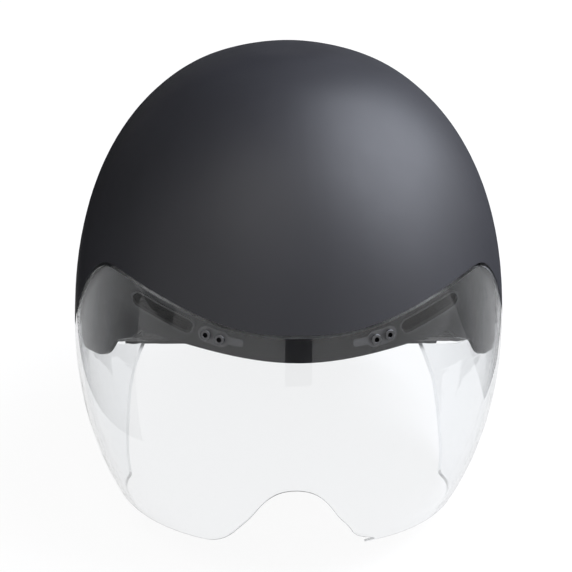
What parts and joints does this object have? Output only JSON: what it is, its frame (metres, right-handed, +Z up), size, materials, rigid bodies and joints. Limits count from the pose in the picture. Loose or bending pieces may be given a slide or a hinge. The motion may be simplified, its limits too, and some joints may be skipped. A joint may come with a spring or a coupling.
{
  "type": "aero time trial helmet",
  "caption": "Aero time trial helmet with a smooth teardrop shell, a clear full-face magnetic visor over a recessed brow band, tail vents, dial fit system and chin strap.",
  "frame": {"origin": "on the surface that the helmet stands on, under the middle of its bounding box", "axes": "+Z up, the face looks along -Y, +X to the right of the picture; the helmet leans back 14.5 degrees on its nape foot and the rear corners of its visor, as it stands by itself"},
  "size_m": [0.206, 0.2682, 0.2181],
  "materials": {
    "shell_plastic": "matte charcoal moulded shell",
    "eps_foam": "black expanded polystyrene, fine bead",
    "satin_plastic": "satin black moulded nylon",
    "edge_rubber": "soft black edge strip",
    "clear_lens": "clear polished polycarbonate",
    "frosted_plastic": "grey frosted nylon",
    "rivet_metal": "dark nickelled rivets",
    "magnet_metal": "black nickelled magnets on a steel keeper",
    "pad_fabric": "brushed knit over soft foam",
    "webbing": "woven polyester strap",
    "dial_rubber": "soft-touch grip",
    "rack_plastic": "acetal toothed strip"
  },
  "bodies": {
    "helmet": {"outer_shell": "shell_plastic", "eps_liner": "eps_foam", "tail_diffuser": "satin_plastic", "lower_trim": "edge_rubber", "brow_pad": "pad_fabric", "buckle_socket": "satin_plastic", "chin_strap_left": "webbing", "chin_strap_right": "webbing", "inlet_bezel_left": "satin_plastic", "inlet_bezel_right": "satin_plastic", "latch_magnets_left": "magnet_metal", "latch_magnets_right": "magnet_metal", "crown_pad_left": "pad_fabric", "crown_pad_right": "pad_fabric", "side_pad_left": "pad_fabric", "side_pad_right": "pad_fabric", "side_belt_left": "satin_plastic", "side_belt_right": "satin_plastic", "side_web_left": "webbing", "side_web_right": "webbing", "strap_divider_left": "satin_plastic", "strap_divider_right": "satin_plastic", "front_anchor_left": "satin_plastic", "front_anchor_right": "satin_plastic", "rear_anchor_left": "satin_plastic", "rear_anchor_right": "satin_plastic"},
    "visor": {"visor_lens": "clear_lens", "visor_bracket_left": "frosted_plastic", "visor_bracket_right": "frosted_plastic", "rivet_inner_left": "rivet_metal", "rivet_inner_right": "rivet_metal", "rivet_outer_left": "rivet_metal", "rivet_outer_right": "rivet_metal"},
    "cradle": {"rear_cradle": "satin_plastic", "cradle_pad": "pad_fabric", "dial_housing": "satin_plastic"},
    "dial": {"dial_knob": "dial_rubber"},
    "rack_left": {"rack_left": "rack_plastic"},
    "rack_right": {"rack_right": "rack_plastic"},
    "plug": {"buckle_plug": "satin_plastic"}
  },
  "joints": [
    {"name": "visor_pull", "type": "slide", "parent": "helmet", "child": "visor", "axis": [0, -0.9681, 0.2504], "range_m": [0, 0.12]},
    {"name": "fit_slide", "type": "slide", "parent": "helmet", "child": "cradle", "axis": [0, -0.9681, 0.2504], "range_m": [0, 0.01]},
    {"name": "dial_turn", "type": "hinge", "parent": "cradle", "child": "dial", "pos_m": [0, 0.08571, 0.03122], "axis": [0, 0.9681, -0.2504], "range_deg": [0, 143.3]},
    {"name": "rack_left_draw", "type": "slide", "parent": "cradle", "child": "rack_left", "axis": [1, 0, 0], "range_m": [0, 0.01]},
    {"name": "rack_right_draw", "type": "slide", "parent": "cradle", "child": "rack_right", "axis": [-1, 0, 0], "range_m": [0, 0.01]},
    {"name": "buckle_release", "type": "slide", "parent": "helmet", "child": "plug", "axis": [1, 0, 0], "range_m": [0, 0.018], "deforming": ["chin_strap_right"]}
  ],
  "couplings": [
    {"joint": "dial_turn", "follows": "fit_slide", "rad_per_m": 250},
    {"joint": "rack_left_draw", "follows": "fit_slide", "ratio": 1},
    {"joint": "rack_right_draw", "follows": "fit_slide", "ratio": 1}
  ]
}
